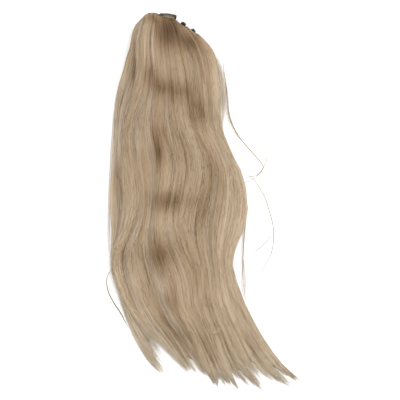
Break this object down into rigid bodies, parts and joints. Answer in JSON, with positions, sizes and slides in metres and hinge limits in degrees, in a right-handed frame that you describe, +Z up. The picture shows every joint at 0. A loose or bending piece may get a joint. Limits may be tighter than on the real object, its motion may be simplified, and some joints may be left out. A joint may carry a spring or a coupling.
{
  "type": "claw clip ponytail hair extension",
  "caption": "Long wavy ponytail hairpiece on a claw clip, lying flat with its tips swept to one side; it clips over tied-up hair to lengthen it.",
  "frame": {"origin": "middle of the outline on the surface that the hair lies on", "axes": "+Y along the hair from the tips to the clip, +X to the right seen from above, +Z up from the surface"},
  "size_m": [0.2419, 0.4879, 0.0505],
  "materials": {
    "claw_clip": "dark brown-black gloss",
    "weft_band": "sewn olive-grey tape with pale stitches",
    "upper_weft_hair": "satin ash-blonde hair with pale and brown streaks",
    "lower_weft_hair": "satin ash-blonde hair, darker than the upper layer"
  },
  "bodies": {
    "root": {"claw_clip": "claw_clip", "weft_band": "weft_band", "upper_weft_hair": "upper_weft_hair", "lower_weft_hair": "lower_weft_hair"}
  },
  "joints": []
}
